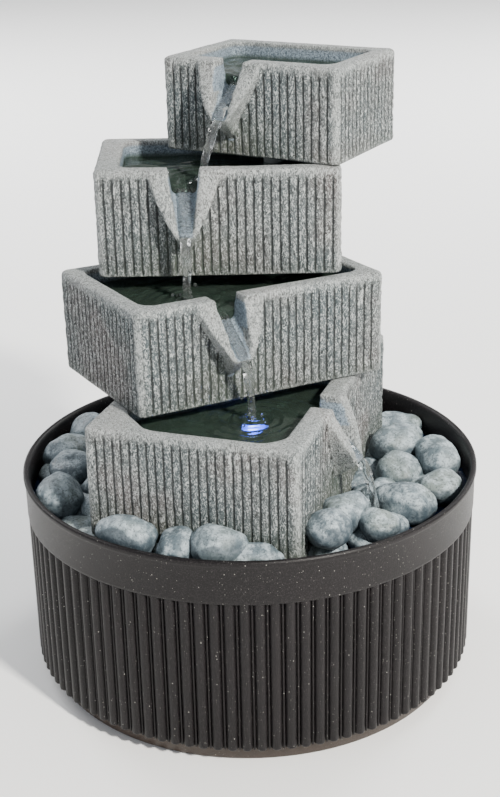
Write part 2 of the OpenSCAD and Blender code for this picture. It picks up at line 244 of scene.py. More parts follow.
def noise(tree, coord, scale, **settings):
    """Cloudy noise of this scale per metre."""
    return node(tree, "TexNoise", Vector=coord, Scale=scale, **settings).outputs["Fac"]


def here(tree):
    """The place on the object."""
    return node(tree, "TexCoord").outputs["Object"]


def bumped(tree, shader, height, strength, distance):
    """Raises the finish by height, without changing the mesh."""
    bump = node(tree, "Bump", Strength=strength, Distance=distance, Height=height)
    tree.links.new(bump.outputs[0], shader.inputs["Normal"])


def material(name):
    """A new material with its Principled shader: (material, tree, shader)."""
    m = bpy.data.materials.new(name)
    m.use_nodes = True
    tree = m.node_tree
    return m, tree, tree.nodes["Principled BSDF"]


def wear(obj, mat, smooth_by):
    """Gives the piece its finish and its shading."""
    obj.data.materials.clear()
    obj.data.materials.append(mat)
    smooth(obj, smooth_by)


# %% [markdown]
# ## Camera, light and floor
# The camera looks slightly down from the front, with a long lens. A warm key light stands high on the
# right, so each spout throws a shadow to the left, and broad pale lights fill the rest.

# %% Camera
def aim(obj, at, frm):
    """Puts obj at frm, looking towards at."""
    obj.location = frm
    obj.rotation_mode = "QUATERNION"
    obj.rotation_quaternion = (Vector(at) - Vector(frm)).to_track_quat("-Z", "Y")


camera = bpy.data.objects.new("camera", bpy.data.cameras.new("camera"))
bpy.context.scene.collection.objects.link(camera)
bpy.context.scene.camera = camera
pitch, roll = math.radians(22.66), math.radians(-1.13)
forward = Vector((0, math.cos(pitch), -math.sin(pitch)))
level, rise = Vector((1, 0, 0)), Vector((0, math.sin(pitch), math.cos(pitch)))
right = math.cos(roll) * level + math.sin(roll) * rise
up = math.cos(roll) * rise - math.sin(roll) * level
turn = Matrix((right, up, -forward)).transposed()
camera.rotation_mode = "QUATERNION"
camera.rotation_quaternion = turn.to_quaternion()
camera.location = (0.00375, -0.84877, 0.53296)
camera.data.sensor_width = 36
camera.data.lens = 63.11
camera.data.shift_x, camera.data.shift_y = -0.0054, 0.0064
camera.data.clip_start, camera.data.clip_end = 0.05, 50


# %% Lights
def area_light(name, frm, at, size, power, colour):
    data = bpy.data.lights.new(name, "AREA")
    data.size, data.energy, data.color = size, power, linear(colour)[:3]
    lamp = bpy.data.objects.new(name, data)
    bpy.context.scene.collection.objects.link(lamp)
    aim(lamp, at, frm)


area_light("key", (1.02, -1.36, 1.48), (0, 0, 0.2), 0.16, 100, "#FFFBF3")
area_light("fill", (-1.5, -1.2, 1.1), (0, 0, 0.2), 1.6, 5, "#E4EDFF")
area_light("top", (0, 0.4, 2.2), (0, 0, 0.2), 1.4, 9, "#FFFFFF")
area_light("sweep left", (-1.6, 1.9, 1.5), (-0.7, 2.3, 0), 1.2, 90, "#FFFFFF")
area_light("sweep right", (1.6, 1.9, 1.5), (0.7, 2.3, 0), 1.2, 90, "#FFFFFF")
world = bpy.data.worlds.new("studio")
bpy.context.scene.world = world
world.use_nodes = True
world.node_tree.nodes["Background"].inputs[0].default_value = linear("#F7F9FC")
world.node_tree.nodes["Background"].inputs[1].default_value = 0.50

# %% Floor
bpy.ops.object.select_all(action="DESELECT")
bpy.ops.mesh.primitive_plane_add(size=12, location=(0, 0, 0))
floor = bpy.context.object
floor.name = "floor"
m, tree, shader = material("pale studio floor")
shader.inputs["Base Color"].default_value = linear("#FBFBFA")
shader.inputs["Roughness"].default_value = 0.9
floor.data.materials.append(m)

# %% [markdown]
# ## The bowl
# The reservoir is a moulded plastic bowl. Its plain parts are turned from one outline: foot, ribbed
# wall, smooth band, rim bead, and the inside. The ribs are one small rounded bar, spun round the axis
# in edit mode, with a thin ridge between each pair.

# %% Turned shell of the bowl
bowl_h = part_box("reservoir_bowl")[1].z
band_z = 0.114
shell = turned("bowl", [
    (0.020, 0.002), (0.1270, 0.002), (0.1280, 0.0002), (0.1375, 0.0), (0.1396, 0.0006), (0.1408, 0.0022),
    (0.1430, 0.0095), (0.1440, 0.0116), (0.1449, 0.0122), (0.1451, 0.060), (0.1452, band_z - 0.0005),
    (0.1482, band_z), (0.1488, band_z + 0.0008), (0.1490, band_z + 0.0022), (0.1490, bowl_h - 0.0048),
    (0.1496, bowl_h - 0.0036), (0.1500, bowl_h - 0.0022), (0.1499, bowl_h - 0.0010),
    (0.1492, bowl_h - 0.0002), (0.1482, bowl_h), (0.1469, bowl_h - 0.0002), (0.1460, bowl_h - 0.0012),
    (0.1456, bowl_h - 0.0028), (0.1455, band_z), (0.1429, band_z - 0.002), (0.1429, 0.016),
    (0.1330, 0.0040), (0.020, 0.0040)], 204)
print("bowl shell:", len(shell.data.polygons), "faces")

# %% Ribs and ridges, spun in edit mode
RIBS = 102


def spun_bar(name, at, radius, low, high, turn_by):
    """An upright bar, square at the top and eased at the foot, copied round the axis at this distance."""
    rings = [(radius * 0.80, low), (radius * 0.95, low + radius * 0.15), (radius, low + radius * 0.4),
             (radius, (low + high) / 2), (radius, high)]
    bar = turned(name, rings, 16)
    bar.location = (at, 0, 0)
    settle(bar)
    pick(bar, "FACE", lambda f: f.center.x < at - radius * 0.45)
    bpy.ops.mesh.delete(type="FACE")
    bpy.ops.mesh.select_all(action="SELECT")
    bpy.ops.mesh.spin(steps=RIBS, dupli=True, angle=2 * math.pi, center=(0, 0, 0), axis=(0, 0, 1))
    bpy.ops.mesh.remove_doubles(threshold=0.00002)
    done()
    bar.rotation_euler = (0, 0, turn_by)
    settle(bar)
    return bar


ribs = spun_bar("ribs", 0.1450, 3.55 * MM, 0.0116, band_z + 0.0008, 0.0)
ridges = spun_bar("ridges", 0.1460, 0.80 * MM, 0.0116, band_z + 0.0008, math.pi / RIBS)
print("ribs:", len(ribs.data.polygons), "faces; ridges:", len(ridges.data.polygons), "faces")

# %% Lugs inside, and the bowl put together
lugs = []
for k in range(6):
    lug = block("lug", (0.1290, -0.008, 0.098), (0.1440, 0.008, 0.112))
    lug.rotation_euler = (0, 0, math.radians(30 + 60 * k))
    settle(lug)
    lugs.append(lug)
bowl = join(shell, ribs, ridges, *lugs)
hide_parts("reservoir_bowl", "bowl_floor")
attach(bowl, "reservoir")

# %% [markdown]
# Moulded plastic in a dark brown-black, satin, with fine pale flecks in it. The flecks come from cells
# about 5 mm apart of which only the heart shows, and a broad cloud of colour keeps the large band alive.
# A painted glow of warm brown-grey on the foot stands for light thrown up from the floor.

# %% Finish: flecked satin plastic
m, tree, shader = material("moulded plastic, dark flecked satin")
place = here(tree)
flecks = []
for spread, heart, share in ((330.0, 0.12, 0.66), (720.0, 0.16, 0.70)):
    cells = node(tree, "TexVoronoi", Vector=place, Scale=spread, Randomness=1.0)
    core = ramp(tree, cells.outputs["Distance"], (0.0, 1.0), (heart * 0.7, 0.9), (heart, 0.0))
    chance = node(tree, "SeparateColor", Color=cells.outputs["Color"]).outputs[0]
    flecks.append(maths(tree, "MULTIPLY", core, ramp(tree, chance, (share, 0.0), (share + 0.3, 1.0))))
fleck = maths(tree, "MAXIMUM", *flecks)
cloud = noise(tree, place, 16.0, Detail=5.0, Roughness=0.6)
grain = noise(tree, place, 1300.0, Detail=3.0)
body = ramp(tree, cloud, (0.30, linear("#0F0D0E")), (0.55, linear("#131112")), (0.75, linear("#191617")))
body = mix(tree, ramp(tree, grain, (0.50, 0.0), (0.66, 0.50)), body, linear("#322E30"))
height_z = node(tree, "SeparateXYZ", Vector=place).outputs[2]
# painted light: the foot is lightened to a warm brown-grey, as if the floor threw light up onto it
floor_bounce_ends = {"From_Min": 0.0105, "From_Max": 0.0125, "To_Min": 0.85, "To_Max": 0.0}
floor_bounce_glow = node(tree, "MapRange", Value=height_z, **floor_bounce_ends).outputs[0]
body = mix(tree, floor_bounce_glow, body, linear("#3A3029"))
tree.links.new(mix(tree, fleck, body, linear("#A3A19B")), shader.inputs["Base Color"])
shader.inputs["Specular IOR Level"].default_value = 0.18
tree.links.new(ramp(tree, grain, (0.3, 0.34), (0.7, 0.52)), shader.inputs["Roughness"])
bumped(tree, shader, grain, 0.40, 0.0003)
wear(bowl, m, 35)

# %% [markdown]
# ## The castings
# Each basin is a block of cast stone that was combed with a toothed tool while soft. A low-poly block
# is bevelled, a spout is added, and the basin and the channel are cut out. A voxel remesh then turns
# all that into one even skin, and smoothing rounds every edge as wear does. The comb's grooves fall on
# every fourth column of the skin, so they can be pressed in by a Displace modifier with vertex weights.

# %% Plans of the four castings: width, depth, centre x, centre y, yaw, lean of the side walls
PLANS = {
    "top": (0.123, 0.0863, 0.0246, 0.0549, -29.2, 0.0),
    "upper": (0.152, 0.0978, -0.0172, 0.0369, 0.2, 1.5),
    "lower": (0.169, 0.1067, -0.0162, 0.0019, 26.0, 5.0),
    "base": (0.1344, 0.2090, -0.0016, -0.0122, -18.7, 0.0),
}
RIMS = {k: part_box(k + "_tier")[1].z for k in PLANS}
FEET = {k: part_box(k + "_tier")[0].z for k in PLANS}
# spout: where it sits along its wall from the middle, its wall (front or right), reach and drop
SPOUTS = {
    "top": (-0.0130, "front", 0.015, 0.034),
    "upper": (-0.0208, "front", 0.016, 0.038),
    "lower": (-0.0237, "front", 0.016, 0.035),
    "base": (-0.0265, "right", 0.016, 0.037),
}
PITCH = 5.4 * MM
VOXEL = PITCH / 4


# %% Spout and channel shapes
CHEEK = 0.0222  # half a spout's width at the rim


def beak_rings(reach, drop):
    """The cheeks of a spout, from the rim down to the lip and back under it to the wall."""
    return [(CHEEK, -0.0008, 0.007, 0.0), (0.0214, -0.0030, 0.007, -0.006),
            (0.0176, -0.0088, 0.007, -0.45 * drop),
            (0.0116, -0.0142, 0.007, -0.78 * drop), (0.0068, -reach, 0.007, -drop),
            (0.0056, -reach * 0.84, 0.007, -drop - 0.0030), (0.0024, 0.0010, 0.007, -drop - 0.014)]


def channel_rings(reach, drop, wall):
    """What is cut away between the cheeks, from above the rim down to the lip."""
    return [(0.0112, -0.030, wall + 0.004, 0.0050), (0.0096, -0.030, wall + 0.004, -0.001),
            (0.0080, -0.030, wall + 0.004, -0.0130), (0.0065, -0.030, -0.001, -0.0240),
            (0.0049, -0.030, -reach + 0.001, -drop + 0.0005)]


def to_wall(obj, plan, where, side, z):
    """Moves a spout shape made at the origin to its wall."""
    w, d = plan[0], plan[1]
    if side == "front":
        obj.location = (where, -d / 2, z)
    else:
        obj.rotation_euler = (0, 0, math.pi / 2)
        obj.location = (w / 2, where, z)
    settle(obj)


def cut(obj, cutter, how="DIFFERENCE"):
    """Cuts the cutter from obj, or unites them, and throws the cutter away."""
    modify(obj, "BOOLEAN", operation=how, object=cutter, solver="EXACT")
    bpy.data.objects.remove(cutter)


# %% Basins
WALL = 0.0110
UPPER_LEFT_WALL = 0.0150
DEPTH = {"top": 0.040, "upper": 0.042, "lower": 0.042, "base": 0.0345}
# the base basin is a block with three of its corners sliced off: a place on each slice, and its normal
BASE_SLICES = (((-0.042, -0.084, 0), (-12, -38, 0)), ((0.040, 0.022, 0), (-82, 90, 0)),
               ((0.044, -0.096, 0), (10, -10, 0)))


def round_uprights(obj, taller_than, radius, segments):
    """Bevels the edges that rise by more than taller_than."""
    at = obj.data.vertices
    pick(obj, "EDGE", lambda e: abs(at[e.vertices[0]].co.z - at[e.vertices[1]].co.z) > taller_than)
    bpy.ops.mesh.bevel(offset=radius, segments=segments, affect="EDGES")
    done()


def basin_cutter(key):
    """The space inside a basin, from its floor to above its rim."""
    w, d = PLANS[key][:2]
    floor_z, open_z = RIMS[key] - DEPTH[key], RIMS[key] + 0.01
    if key != "base":
        left = UPPER_LEFT_WALL if key == "upper" else WALL
        obj = block("basin", (-w / 2 + left, -d / 2 + WALL, floor_z), (w / 2 - WALL, d / 2 - WALL, open_z))
        round_uprights(obj, 1e-6, 0.008, 4)
        return obj
    obj = block("basin", (-0.050, -0.096, floor_z), (0.054, 0.022, open_z))
    for point, normal in BASE_SLICES:
        edit_all(obj)
        bpy.ops.mesh.bisect(plane_co=point, plane_no=normal, use_fill=True, clear_outer=True)
        done()
    round_uprights(obj, 0.02, 0.004, 3)
    return obj


def rough_casting(key):
    """The casting in its own upright frame, before it is skinned."""
    plan, rim, foot = PLANS[key], RIMS[key], FEET[key]
    w, d = plan[:2]
    body = block(key + "_casting", (-w / 2, -d / 2, foot + 0.0003), (w / 2, d / 2, rim))
    round_uprights(body, 1e-6, 0.0038, 4)
    at_top = lambda e: all(body.data.vertices[i].co.z > rim - 1e-5 for i in e.vertices)
    pick(body, "EDGE", at_top)
    bpy.ops.mesh.bevel(offset=0.0026, segments=3, affect="EDGES")
    done()
    where, side, reach, drop = SPOUTS[key]
    beak = lofted("beak", beak_rings(reach, drop))
    to_wall(beak, plan, where, side, rim)
    cut(body, beak, "UNION")
    cut(body, basin_cutter(key))
    channel = lofted("channel", channel_rings(reach, drop, WALL))
    to_wall(channel, plan, where, side, rim)
    cut(body, channel)
    return body


# %% [markdown]
# The skin's vertices are then told what they are: how far along their wall they lie, whether the comb
# touched them, whether they are worn or take a painted highlight, wet or under water. These numbers drive
# both the displacement and the finish, so the two always agree.

# %% Reading and writing numbers on vertices
def read_vertices(obj):
    """The places and the normals of all vertices."""
    n = len(obj.data.vertices)
    co, no = np.zeros(n * 3), np.zeros(n * 3)
    obj.data.vertices.foreach_get("co", co)
    obj.data.vertices.foreach_get("normal", no)
    return co.reshape(-1, 3), no.reshape(-1, 3)


def write_places(obj, co):
    obj.data.vertices.foreach_set("co", co.ravel())
    obj.data.update()


def leant(obj, lean):
    """Slides everything sideways in proportion to its depth, as the plan's side walls lean."""
    co = read_vertices(obj)[0]
    co[:, 0] -= co[:, 1] * math.tan(math.radians(lean))
    write_places(obj, co)


def number(obj, name, values):
    """Stores one number on each vertex for the finish to read."""
    a = obj.data.attributes.new(name, "FLOAT", "POINT")
    a.data.foreach_set("value", np.asarray(values, np.float32))


def weigh(obj, name, values):
    """A vertex group with these weights, in 32 steps so that it is quick to make."""
    group = obj.vertex_groups.new(name=name)
    steps = np.round(np.clip(values, 0, 1) * 32).astype(int)
    for s in range(1, 33):
        chosen = np.nonzero(steps == s)[0]
        if len(chosen):
            group.add(chosen.tolist(), s / 32, "REPLACE")


def step(x, low, high):
    """0 below low, 1 above high, smooth between."""
    t = np.clip((x - low) / (high - low), 0, 1)
    return t * t * (3 - 2 * t)


def clouds(name, size, depth):
    """A cloud texture for Displace, with lumps of this size in metres."""
    t = bpy.data.textures.new(name, "CLOUDS")
    t.noise_scale, t.noise_depth = size, depth
    return t


# %% Skin a casting and press the comb in
PAST_WALL = (0.0085, 0.0100)  # how far in from the outside the basin begins
BROAD, LUMPS, GRIT = clouds("broad", 0.035, 2), clouds("lumps", 0.0065, 2), clouds("grit", 0.0024, 1)


def casting(key):
    """A finished casting in its place, combed, worn, with a painted highlight on its spout, and told where it
    is wet.
    """
    rim, foot = RIMS[key], FEET[key]
    w, d, cx, cy, yaw, lean = PLANS[key]
    obj = rough_casting(key)
    modify(obj, "REMESH", mode="VOXEL", voxel_size=VOXEL)
    modify(obj, "SMOOTH", factor=0.5, iterations=5)
    co, no = read_vertices(obj)
    x, y, z = co.T
    where, side, reach, drop = SPOUTS[key]
    along, out = (x - where, -y - d / 2) if side == "front" else (y - where, x - w / 2)
    dx, dy = w / 2 - np.abs(x), d / 2 - np.abs(y)
    edge = np.minimum(dx, dy)
    faces_x = np.abs(no[:, 0]) > np.abs(no[:, 1])
    across = np.where(faces_x, y, x)
    to_corner = np.where(faces_x, dy, dx)
    below = rim - z
    half = CHEEK * (1 - step(below, 0.0, drop + 0.012) * 0.80)
    spout = (out > -0.0125) & (np.abs(along) < half + 0.001) & (below < drop + 0.015)
    proud = step(out, 0.0006, 0.0022)
    wall_side = step(0.0030 - edge, 0.0, 0.0012) * step(1 - np.abs(no[:, 2]), 0.25, 0.6)
    comb = wall_side * step(below, 0.0030, 0.0075) * step(z - foot, 0.0005, 0.003)
    comb *= step(to_corner, 0.0030, 0.0048) * (1 - proud)
    on_spout = (spout & (np.abs(along) < half - 0.0005)) * (1 - step(below, drop + 0.002, drop + 0.014))
    comb *= 1 - 0.9 * on_spout
    inside = step(edge, *PAST_WALL) * step(below, 0.002, 0.004)
    chute = spout & (np.abs(along) < 0.0104 - below * 0.17) & (below > 0.004) & (no[:, 2] > -0.2) & (z > foot)
    inside = np.maximum(inside, np.where(chute, 1.0, 0.0))
    corner_worn = (1 - step(to_corner, 0.002, 0.0052)) * wall_side
    wear_and_highlight = np.maximum((1 - step(below, 0.0, 0.0075)) * (1 - inside), corner_worn)
    # painted highlight: the spout's lapels, which stand proud of the wall, are lightened as if they caught
    # the light; the rest of this mask is real wear on rims, corners and feet
    wear_and_highlight = np.maximum(wear_and_highlight, np.where(spout & ~chute, 1.0, 0.0) * proud)
    wear_and_highlight = np.maximum(wear_and_highlight, 0.6 * (1 - step(z - foot, 0.0, 0.0040)) * wall_side)
    pool = rim - 0.0095
    # the channel keeps its light wet colour, so only the basin behind it counts as sunk
    basin = step(edge, *PAST_WALL) * step(-out, 0.0085, 0.0110)
    sunk = basin * step(below, 0.002, 0.004) * (1 - step(z, pool - 0.001, pool + 0.0025))
    # damp and green: low on the base casting, and on the wall under each spout
    splash = np.exp(-((np.abs(along) / 0.030) ** 2)) * step(below, drop * 0.8, drop + 0.012) * (out > -0.004)
    soaked = 0.9 * (1 - step(z, 0.128, 0.165)) if key == "base" else 0.35 * (1 - step(z - foot, 0.0, 0.014))
    damp = np.clip(0.75 * splash + soaked, 0, 1)
    groove = np.abs(((across / PITCH + 0.5) % 1.0) - 0.5) * PITCH
    weigh(obj, "pressed", comb * (1 - step(groove, 0.0002, 0.0011)))
    weigh(obj, "rough", np.clip(wall_side * (1 - 0.8 * proud) + 0.15, 0, 1) * (1 - 0.8 * inside))
    weigh(obj, "all", 0.5 + 0 * comb)
    kept = {"across": across, "comb": comb, "wear_and_highlight": wear_and_highlight, "inside": inside, "sunk": sunk, "damp": damp}
    for name, values in kept.items():
        number(obj, name, values)
    modify(obj, "DISPLACE", texture=BROAD, strength=0.0012, mid_level=0.5, vertex_group="all")
    modify(obj, "DISPLACE", texture=LUMPS, strength=0.0010, mid_level=0.5, vertex_group="rough")
    modify(obj, "DISPLACE", strength=-0.00110, mid_level=0.0, vertex_group="pressed")
    modify(obj, "DISPLACE", texture=GRIT, strength=0.0007, mid_level=0.5, vertex_group="rough")
    obj.vertex_groups.clear()
    leant(obj, lean)
    obj.rotation_euler = (0, 0, math.radians(yaw))
    obj.location = (cx, cy, 0)
    settle(obj)
    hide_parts(key + "_tier")
    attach(obj, "tower")
    print(key, "casting:", len(obj.data.polygons), "faces")
    return obj


castings = {key: casting(key) for key in PLANS}

# %% [markdown]
# The finish of the castings is a cool grey stone, dry-brushed with off-white on everything that stands
# proud, with painted shade in the grooves and low hollows, worn pale on rims and corners, a painted
# highlight on the spouts' lapels, darker and greener where water reaches, and blue-grey inside. The comb's
# teeth were about 5.4 mm apart, and the grit between them is 1 to 3 mm.

# %% Finish: combed cast stone
m, tree, shader = material("cast stone, combed and dry-brushed")
coord = here(tree)
numbers = ("across", "comb", "wear_and_highlight", "inside", "sunk", "damp")
given = {name: node(tree, "Attribute", {"attribute_name": name}).outputs["Fac"] for name in numbers}
broad = noise(tree, coord, 17.0, Detail=3.0)
grit = noise(tree, coord, 900.0, Detail=4.0, Roughness=0.7)
stretch = node(tree, "Mapping", Vector=coord, Scale=(1.0, 1.0, 0.42)).outputs[0]
lumps = noise(tree, stretch, 600.0, Detail=2.5, Distortion=2.4)
wobble = noise(tree, coord, 55.0, Detail=2.0)
print("noises ready; teeth", round(PITCH / MM, 1), "mm apart")

# %% Grooves and hollows with painted shade, and high points of the stone
count = maths(tree, "MULTIPLY", given["across"], 1 / PITCH)
count = maths(tree, "ADD", count, maths(tree, "MULTIPLY", maths(tree, "SUBTRACT", wobble, 0.5), 0.16))
part = maths(tree, "FRACT", maths(tree, "ADD", count, 0.5))
off = maths(tree, "ABSOLUTE", maths(tree, "SUBTRACT", part, 0.5))
groove = maths(tree, "MULTIPLY", ramp(tree, off, (0.06, 1.0), (0.17, 0.0)), given["comb"])
height = maths(tree, "ADD", maths(tree, "MULTIPLY", lumps, 0.74), maths(tree, "MULTIPLY", grit, 0.26))
# painted shade: the low spots of the relief are darkened as if shade lay in them
painted_hollow_shade = ramp(tree, height, (0.36, 1.0), (0.46, 0.0))
proud = ramp(tree, height, (0.51, 0.0), (0.60, 1.0))

# %% Colours of the stone, laid over each other
tint = ramp(tree, broad, (0.36, linear("#4A5457")), (0.5, linear("#565C5D")), (0.64, linear("#636060")))
# the dark tone of the painted shade in the hollows
hollow_shade_tone = ramp(tree, broad, (0.36, linear("#252A2C")), (0.64, linear("#322F2D")))
stone = mix(tree, painted_hollow_shade, tint, hollow_shade_tone)
stone = mix(tree, maths(tree, "MULTIPLY", proud, 0.66), stone, linear("#C8CCCB"))
# painted shade: the comb's grooves are darkened almost to black, standing for the shadow inside them
stone = mix(tree, maths(tree, "MULTIPLY", groove, 0.92), stone, linear("#1A1E1F"))
# real wear on rims and corners, and a painted highlight on the spouts' lapels, in one pale tone
wear_and_highlight = maths(tree, "MULTIPLY", given["wear_and_highlight"], ramp(tree, height, (0.42, 0.15), (0.58, 0.85)))
stone = mix(tree, wear_and_highlight, stone, linear("#A3A7A6"))
damp = maths(tree, "MULTIPLY", given["damp"], ramp(tree, lumps, (0.35, 1.0), (0.65, 0.45)))
stone = mix(tree, maths(tree, "MULTIPLY", damp, 0.60), stone, linear("#3A4736"))
inner = mix(tree, ramp(tree, grit, (0.40, 0.0), (0.60, 1.0)), linear("#4C5862"), linear("#93A2AE"))
stone = mix(tree, given["inside"], stone, inner)
stone = mix(tree, maths(tree, "MULTIPLY", given["sunk"], 0.93), stone, linear("#2F3D35"))
tree.links.new(stone, shader.inputs["Base Color"])
dry = maths(tree, "SUBTRACT", 0.88, maths(tree, "MULTIPLY", damp, 0.35))
rough = maths(tree, "SUBTRACT", dry, maths(tree, "MULTIPLY", given["inside"], 0.50))
tree.links.new(rough, shader.inputs["Roughness"])
relief = maths(tree, "SUBTRACT", height, maths(tree, "MULTIPLY", groove, 0.8))
bumped(tree, shader, relief, 0.9, 0.0011)
for piece in castings.values():
    wear(piece, m, 60)

# %% [markdown]
# ## The pebbles
# River pebbles are worn smooth but never quite even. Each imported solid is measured, and a round ball is
# stretched to it and pushed about by slow noise. Smaller stones then fill the gaps, as in a real bed,
# so the stones press against each other with dark creases between them.

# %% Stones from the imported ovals
PEBBLY, PITTED = clouds("pebbly", 0.020, 1), clouds("pitted", 0.006, 2)
tray_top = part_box("pebble_tray")[1].z
rng = np.random.default_rng(7)


def stone_at(middle, size, turn, detail=5):
    """A ball stretched to size, turned and moved to its place."""
    bpy.ops.object.select_all(action="DESELECT")
    bpy.ops.mesh.primitive_ico_sphere_add(subdivisions=detail, radius=0.5, location=middle)
    obj = bpy.context.object
    obj.scale = size
    obj.rotation_mode = "QUATERNION"
    obj.rotation_quaternion = turn
    settle(obj)
    return obj


def measured(group):
    """(middle, long direction, length, thickness) of each oval in a packed pebble group."""
    copy = bpy.data.objects.new("loose", frame["nodes"]["pebbles_" + group].data.copy())
    bpy.context.scene.collection.objects.link(copy)
    outward(copy)
    edit_all(copy)
    bpy.ops.mesh.separate(type="LOOSE")
    done()
    found = []
    for obj in list(bpy.context.selected_objects):
        co = read_vertices(obj)[0]
        middle = np.append(co.mean(0)[:2], (co[:, 2].min() + co[:, 2].max()) / 2)
        axis = np.linalg.eigh(np.cov((co - co.mean(0)).T))[1][:, 2]
        reach = (co - middle) @ axis
        found.append((middle, axis, reach.max() - reach.min(), co[:, 2].max() - co[:, 2].min()))
        bpy.data.objects.remove(obj)
    return sorted(found, key=lambda f: tuple(f[0]))


oval_sets = {group: measured(group) for group in ("front", "right", "left", "back")}
print({group: len(found) for group, found in oval_sets.items()})

# %% Small stones that fill the gaps
TRAY_ROOM, POND_SIDE_ROOM = 0.1335, 0.118
FILLER_GAP = 0.0165


def in_base(x, y, extra):
    """Whether x, y lies within the base casting's outline and this much beyond it."""
    w, d, cx, cy, yaw = PLANS["base"][:5]
    a = math.radians(-yaw)
    dx, dy = x - cx, y - cy
    u, v = dx * math.cos(a) - dy * math.sin(a), dx * math.sin(a) + dy * math.cos(a)
    return abs(u) < w / 2 + extra and abs(v) < d / 2 + extra


def sector(x, y):
    """Which group a small stone at x, y joins."""
    if y < -0.095 and x < 0.055:
        return "front"
    if x > 0.03 and y < 0.085:
        return "right"
    return "left" if x < -0.06 and y < 0.062 else "back"


fillers = []
for _ in range(6000):
    x, y = rng.uniform(-0.137, 0.137, 2)
    if math.hypot(x, y) > (TRAY_ROOM if x < 0.03 else POND_SIDE_ROOM) or in_base(x, y, 0.001):
        continue
    if all(math.hypot(x - f[0], y - f[1]) > FILLER_GAP for f in fillers):
        up_by, size, yaw = rng.uniform(0.004, 0.0085), rng.uniform(0.024, 0.031), rng.uniform(0, math.pi)
        fillers.append((x, y, up_by, size, yaw))
print("small stones:", len(fillers))

# %% Build each group
# how far each stone lies above its packed oval, from left to right in its group
LIFT = {"front": (0.0, 0.0, 0.0, 0.0, -0.004, 0.007, 0.0), "right": (0.002,) * 15, "left": (0.004,) * 9,
        "back": (0.0,) * 9}
STONE_ROOM = 0.1448


def sunk_by(group, y):
    """The stones on the right lie deeper towards the back."""
    return 0.0065 * float(step(y, -0.035, 0.010)) if group == "right" else 0.0


def pebbles(group):
    """One group of stones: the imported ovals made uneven, and the small stones between them."""
    parts = []
    for lift, (middle, axis, length, thick) in zip(LIFT[group], oval_sets[group]):
        turn = Vector((1, 0, 0)).rotation_difference(Vector(axis))
        wide = thick * rng.uniform(1.18, 1.34)
        place = Vector(middle) + Vector((0, 0, lift - sunk_by(group, middle[1])))
        parts.append(stone_at(place, (length * 1.10, wide, thick * 1.06), turn))
    for x, y, z, size, yaw in fillers:
        if sector(x, y) == group:
            turn = Matrix.Rotation(yaw, 3, "Z").to_quaternion()
            parts.append(stone_at((x, y, tray_top + z), (size, size * 0.8, size * 0.62), turn, 4))
    obj = join(*parts)
    obj.name = "stones_" + group
    modify(obj, "DISPLACE", texture=PEBBLY, strength=0.0075, mid_level=0.5)
    modify(obj, "DISPLACE", texture=PITTED, strength=0.0010, mid_level=0.5)
    co = read_vertices(obj)[0]
    far = np.hypot(co[:, 0], co[:, 1])
    shrink = np.minimum(1.0, STONE_ROOM / np.maximum(far, 1e-6))
    co[:, 0] *= shrink
    co[:, 1] *= shrink
    co[:, 2] = np.maximum(co[:, 2], tray_top - 0.0015)
    write_places(obj, co)
    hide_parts("pebbles_" + group)
    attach(obj, "tower")
    print(obj.name, len(obj.data.polygons), "faces")
    return obj


stones = [pebbles(group) for group in ("front", "right", "left", "back")]

# %% [markdown]
# The pebbles are a dull blue-grey slate. Silt has dried pale on them in patches, each stone has its own
# tone, their sides and undersides get painted shade, and below the water line they turn dark and glossy.
# Pits of about 1 mm break the light up.

# %% Finish: river pebble
m, tree, shader = material("river pebble, dusty slate grey")
coord = here(tree)
each = noise(tree, coord, 26.0, Detail=1.0)
dust = noise(tree, coord, 150.0, Detail=6.0, Roughness=0.7)
pits = noise(tree, coord, 700.0, Detail=3.0)
facing_up_for_shade = node(tree, "SeparateXYZ", Vector=node(tree, "NewGeometry").outputs["Normal"]).outputs[2]
level_z = node(tree, "SeparateXYZ", Vector=coord).outputs[2]
shore = {"From_Min": 0.1235, "From_Max": 0.1290, "To_Min": 1.0, "To_Max": 0.0}
wet = node(tree, "MapRange", Value=level_z, **shore).outputs[0]
colour = ramp(tree, each, (0.35, linear("#505D64")), (0.50, linear("#65737A")), (0.65, linear("#727D7B")))
colour = mix(tree, ramp(tree, dust, (0.45, 0.0), (0.60, 0.85)), colour, linear("#A9B6BC"))
colour = mix(tree, ramp(tree, pits, (0.36, 0.60), (0.46, 0.0)), colour, linear("#2B353A"))
# painted shade: the sides and undersides of each stone are darkened as if turned away from the light
colour = mix(tree, ramp(tree, facing_up_for_shade, (0.20, 0.70), (0.55, 0.0)), colour, linear("#2E3A43"))
colour = mix(tree, maths(tree, "MULTIPLY", wet, 0.75), colour, linear("#1C2A38"))
tree.links.new(colour, shader.inputs["Base Color"])
dull = ramp(tree, dust, (0.35, 0.42), (0.62, 0.70))
tree.links.new(maths(tree, "SUBTRACT", dull, maths(tree, "MULTIPLY", wet, 0.25)), shader.inputs["Roughness"])
bumped(tree, shader, maths(tree, "ADD", pits, dust), 0.55, 0.0006)
for piece in stones:
    wear(piece, m, 60)

# %% [markdown]
# ## The water
# A pool is its basin's own cutter, cut off at the water's level, skinned, and let a little way into the
# stone so no gap shows. Its top is then moved up and down by rings that spread from where a stream
# lands and by a few crossing waves 9 to 30 mm long.

# %% Where the water is
LEVELS = {"top": 0.3870, "upper": 0.3276, "lower": 0.2603, "base": 0.1935}
POND = 0.1225


def out_of_wall(key, out, below, across=0.0):
    """A point of a spout: out from its wall, below its rim, across its middle."""
    w, d, cx, cy, yaw, lean = PLANS[key]
    where, side, reach, drop = SPOUTS[key]
    at = where + across
    p = Vector((at, -d / 2 - out, 0)) if side == "front" else Vector((w / 2 + out, at, 0))
    p.x -= p.y * math.tan(math.radians(lean))
    p.rotate(Matrix.Rotation(math.radians(yaw), 3, "Z"))
    return Vector((p.x + cx, p.y + cy, RIMS[key] - below))


